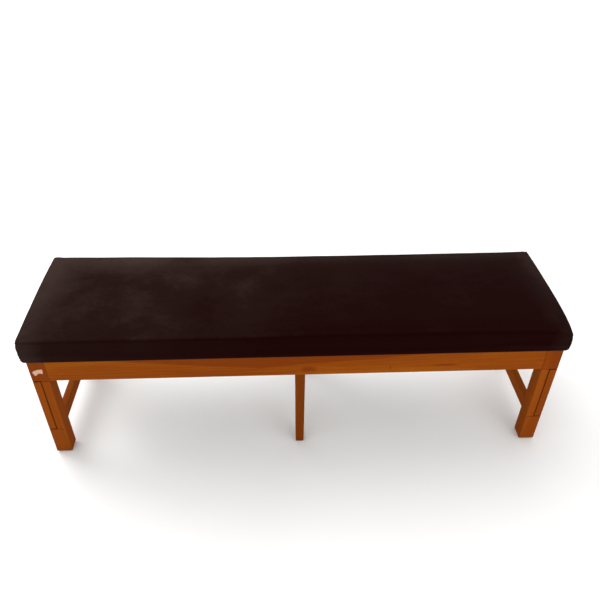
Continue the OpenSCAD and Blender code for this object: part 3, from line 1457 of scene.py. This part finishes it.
@dataclass
class BoardLining:
    """The thin cloth that closes the seat's underside.

    Attributes:
        cell: Mesh size.
        sag: How far it hangs between its staples and the cross rail.
        thick: Its thickness.
        slope: Distances from its edge at which it starts to hang and hangs fully.
        rail_slope: The same from the cross rail.
        pucker: Height and spacing of the small puckers.
        hem: Distances from its edge at which the puckers start and are full.
    """

    cell: float = 8 * MM
    sag: float = 3.5 * MM
    thick: float = 0.5 * MM
    slope: tuple[float, float] = (8 * MM, 90 * MM)
    rail_slope: tuple[float, float] = (4 * MM, 200 * MM)
    pucker: tuple[float, float] = (0.25 * MM, 14 * MM)
    hem: tuple[float, float] = (6 * MM, 12 * MM)

    def build(self) -> bpy.types.Object:
        """Makes the lining.

        Returns:
            The piece.
        """
        low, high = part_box("dust_cover")
        size = high - low
        columns, rows = (round(size[i] / self.cell) for i in range(2))
        middle = ((low.x + high.x) / 2, (low.y + high.y) / 2, high.z)
        spread = Matrix.Translation(middle) @ Matrix.Diagonal((size.x, size.y, 1.0, 1.0))
        sheet = bmesh.new()
        bmesh.ops.create_grid(
            sheet, x_segments=columns, y_segments=rows, size=0.5, matrix=spread
        )
        mesh = bpy.data.meshes.new("board_lining")
        sheet.to_mesh(mesh)
        sheet.free()
        points = points_of(mesh)
        points[:, 2] -= self._drop(points)
        set_points(mesh, points)
        piece = mesh_piece("board_lining", mesh)
        body = piece.modifiers.new("thickness", "SOLIDIFY")
        body.thickness = self.thick
        body.offset = -1.0
        bake_modifiers(piece)
        place_piece(piece, Lining().material())
        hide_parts("dust_cover")
        LOG.info("%s: %.1f mm sag", piece.name, self.sag / MM)
        return piece

    def _drop(self, points: np.ndarray) -> np.ndarray:
        """Gives how far the lining hangs, with its ripples and puckers.

        Args:
            points: One row for each point of the flat sheet.

        Returns:
            The drop at each point.
        """
        x, y, _ = points.T
        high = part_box("dust_cover")[1]
        rail_low, rail_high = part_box("cross_rail")
        from_rail = np.abs(x - (rail_low.x + rail_high.x) / 2) - (rail_high.x - rail_low.x) / 2
        from_edge = np.minimum(high.x - np.abs(x), high.y - np.abs(y))
        free = smooth_step(from_edge, *self.slope) * smooth_step(from_rail, *self.rail_slope)
        ripple = lumps(points, 85 * MM, 2.0) * 0.35 + lumps(points, 30 * MM, 6.0) * 0.12
        height, spacing = self.pucker
        puckers = height * (1 + np.sin(x / spacing) * np.sin(y / spacing))
        puckers *= smooth_step(from_edge, *self.hem)
        return (self.sag * (1.0 + ripple) + puckers) * free


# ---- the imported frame's finishes ----


RAIL_WOOD = Timber(
    "rail_wood", "#8b4609", "#733508", "#935009", "#924e0b", figure=0.15, ring=8.5 * MM
)
LEG_WOOD = Timber(
    "leg_wood", "#87420e", "#73370d", "#8f480f", "#89440f", figure=0.14, varnish=0.03
)
# The strips' long edges are dark: a painted shade along the grooves beside them.
STRIP_WOOD = replace(LEG_WOOD, edge_wear_and_shade="#5c2a0a")
# Centre legs: the leg wood painted darker, a painted shade behind the aprons.
SHADED_MID_WOOD = Timber(
    "shaded_mid_wood", "#753a0b", "#642e0b", "#7c3d0b", "#793d0c", figure=0.14, varnish=0.03
)
BARE_WOOD = Timber(
    "plain_wood", "#c69a63", "#a06f3b", "#d2ac78", "#cfa871", rough=0.62, varnish=0.0
)
PEG_WOOD = Timber(
    "dowel_wood", "#d9bd90", "#bf9863", "#e4cfa8", "#e4cfa8", rough=0.6, varnish=0.0
)
FRONT_BOARD = Board(
    knots=(Knot(0.026, 0.324, 8 * MM),),
    flecks=(Fleck(0.256, 0.323, 2.0 * MM, 10 * MM), Fleck(0.412, 0.328, 38 * MM, 4 * MM)),
    heart=(
        (0.02, 0.0),
        (0.09, 15 * MM),
        (0.20, 28 * MM),
        (0.39, 47 * MM),
        (0.50, 34 * MM),
        (0.70, 23 * MM),
        (0.80, 12 * MM),
        (0.92, 0.0),
    ),
)
REAR_BOARD = Board(
    knots=(Knot(-0.31, 0.350, 6 * MM), Knot(0.44, 0.331, 5 * MM)),
    flecks=(Fleck(-0.52, 0.338, 26 * MM, 1.4 * MM),),
    heart=((0.30, 0.0), (0.48, 16 * MM), (0.66, 25 * MM), (0.90, 6 * MM), (1.0, 0.0)),
)


@dataclass
class WoodenFrame:
    """Dresses the frame's timber, each piece cut from its own board."""

    def dress(self) -> None:
        """Gives every wooden CAD node its material."""
        # Corner legs are painted darker above the aprons' lower edge: a painted shade under the
        # seat.
        corner_board = Board(shaded_from=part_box("apron_front")[0].z)
        for end, board in (("front", FRONT_BOARD), ("rear", REAR_BOARD)):
            self._dress(f"apron_{end}", RAIL_WOOD, Axis.X, board)
            self._dress(f"centre_leg_{end}", SHADED_MID_WOOD, Axis.Z)
            for side in ("left", "right"):
                self._dress(f"leg_{end}_{side}", LEG_WOOD, Axis.Z, corner_board)
                self._dress(f"strip_{end}_{side}", STRIP_WOOD, Axis.Z)
                self._dress(f"block_{end}_{side}", BARE_WOOD, Axis.Z)
        for side in ("left", "right"):
            self._dress(f"apron_{side}", RAIL_WOOD, Axis.Y)
            self._dress(f"stretcher_{side}", LEG_WOOD, Axis.Y)
        self._dress("cross_rail", BARE_WOOD, Axis.Y)
        self._dress("apron_dowels", PEG_WOOD, Axis.X)
        self._dress("centre_dowels", PEG_WOOD, Axis.Y)
        paint_node("seat_board", Plywood().material("seat_board"))

    @staticmethod
    def _dress(node: str, timber: Timber, grain: Axis, board: Board = Board()) -> None:
        """Dresses one piece.

        Args:
            node: The CAD node.
            timber: Its timber.
            grain: The direction of its grain.
            board: What shows in its face.
        """
        paint_node(node, timber.material(node, grain, board))
        LOG.info("%s: %s along %s", node, timber.name, grain.name)


def paint_node(node: str, material: bpy.types.Material) -> None:
    """Gives a CAD node a material in all its slots.

    Args:
        node: The CAD node.
        material: Its material.
    """
    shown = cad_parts[node]
    if not shown.material_slots:
        shown.data.materials.append(material)
    for held in shown.material_slots:
        held.material = material


@dataclass
class Fittings:
    """Dresses the screws, staples, pads and the label."""

    def dress(self) -> None:
        """Gives each of them its material."""
        zinc = ZincSteel().material("screw_steel")
        for node in ("seat_screws", "block_screws", "centre_leg_screws"):
            paint_node(node, zinc)
        paint_node("cover_staples", ZincSteel().material("staple_wire"))
        felt = PressedFibre("felt", "#2e2721", "#5c5044", 0.35, 1400.0, 0.88, 0.1, 0.4 * MM)
        paper = PressedFibre(
            "label_paper", "#b8937f", "#c6a08e", 0.3, 1200.0, 0.65, 0.2, 0.05 * MM, "#aa7d62"
        )
        paint_node("floor_pads", felt.material())
        paint_node("paper_label", paper.material())
        LOG.info("fittings dressed")


# ---- studio ----


@dataclass(frozen=True)
class SoftBox:
    """A square soft light.

    Attributes:
        name: Its name.
        place: Where it hangs.
        size: Its side.
        power: Its power in watts.
        colour: The colour of its light.
    """

    name: str
    place: tuple[float, float, float]
    size: float
    power: float
    colour: str = "#ffffff"

    def hang(self, target: Vector) -> None:
        """Hangs the light.

        Args:
            target: The point that it faces.
        """
        lamp = bpy.data.lights.new(self.name, "AREA")
        lamp.size = self.size
        lamp.energy = self.power
        lamp.color = tint(self.colour)[:3]
        holder = bpy.data.objects.new(self.name, lamp)
        holder.location = self.place
        holder.rotation_euler = (target - Vector(self.place)).to_track_quat("-Z", "Y").to_euler()
        bpy.context.scene.collection.objects.link(holder)


@dataclass
class Studio:
    """Pale floor, soft light and the camera of a standing person.

    Attributes:
        eye: Where the camera is.
        tilt: How far it looks down, in degrees.
        turn: How far it is turned, in degrees.
        roll: How far it is rolled, in degrees.
        lens: Focal length in millimetres.
        sensor: Width of the camera's sensor in millimetres.
        aim: The point that the soft lights face.
        soft_boxes: The soft lights.
        sun_from: The direction that the daylight comes from.
        sun: Strength of the daylight.
        sun_wide: Angle of the daylight's source, in degrees.
        sky: Strength of the even light from all round.
        floor_radius: Radius of the floor.
    """

    eye: tuple[float, float, float] = (-0.0568, -1.4359, 1.5161)
    tilt: float = 37.305
    turn: float = -2.647
    roll: float = 0.476
    lens: float = 36.795
    sensor: float = 36.0
    aim: tuple[float, float, float] = (0.0, 0.0, 0.35)
    soft_boxes: tuple[SoftBox, ...] = (
        SoftBox("window", (-2.2, 1.3, 1.9), 1.6, 32.0),
        SoftBox("room", (-0.9, -2.9, 1.3), 2.0, 10.0),
        SoftBox("fill", (1.7, -2.2, 0.7), 1.6, 15.0),
    )
    sun_from: tuple[float, float, float] = (-0.55, 0.62, 1.0)
    sun: float = 1.0
    sun_wide: float = 60.0
    sky: float = 0.9
    floor_radius: float = 14.0

    def build(self) -> None:
        """Makes the camera, the floor and the lights."""
        self._set_camera()
        self._lay_floor()
        self._light()
        LOG.info("studio ready")

    def _set_camera(self) -> None:
        """Makes the camera."""
        scene = bpy.context.scene
        camera = bpy.data.objects.new("camera", bpy.data.cameras.new("camera"))
        camera.data.lens = self.lens
        camera.data.sensor_width = self.sensor
        turned = Matrix.Rotation(math.radians(self.turn), 4, "Z")
        tilted = Matrix.Rotation(math.radians(90 - self.tilt), 4, "X")
        rolled = Matrix.Rotation(math.radians(self.roll), 4, "Z")
        camera.matrix_world = Matrix.Translation(self.eye) @ turned @ tilted @ rolled
        scene.collection.objects.link(camera)
        scene.camera = camera
        scene.view_settings.view_transform = "Standard"

    def _lay_floor(self) -> None:
        """Makes the floor."""
        mesh = bpy.data.meshes.new("floor")
        ring = bmesh.new()
        bmesh.ops.create_circle(ring, cap_ends=True, radius=self.floor_radius, segments=64)
        ring.to_mesh(mesh)
        ring.free()
        floor = mesh_piece("floor", mesh)
        mesh.materials.append(PaleFloor().material())

    def _light(self) -> None:
        """Makes the even light, the soft lights and the daylight."""
        world = bpy.data.worlds.new("studio")
        world.use_nodes = True
        background = world.node_tree.nodes["Background"]
        background.inputs["Color"].default_value = (1.0, 1.0, 1.0, 1.0)
        background.inputs["Strength"].default_value = self.sky
        bpy.context.scene.world = world
        for box in self.soft_boxes:
            box.hang(Vector(self.aim))
        day = bpy.data.lights.new("daylight", "SUN")
        day.energy = self.sun
        day.angle = math.radians(self.sun_wide)
        holder = bpy.data.objects.new("daylight", day)
        holder.rotation_euler = Vector(self.sun_from).to_track_quat("Z", "Y").to_euler()
        bpy.context.scene.collection.objects.link(holder)


def main() -> None:
    """Builds the studio and then the bench, piece by piece."""
    logging.basicConfig(level=logging.INFO, format="%(name)s: %(message)s")
    Studio().build()
    WoodenFrame().dress()
    Fittings().dress()
    cushion = SeatPad().build()
    for side_x in (-1, 1):
        for side_y in (-1, 1):
            CornerFold(side_x, side_y).build(cushion, cushion.data.materials[0])
    FoamCore().build(cushion)
    BoardLining().build()


if __name__ == "__main__":
    main()
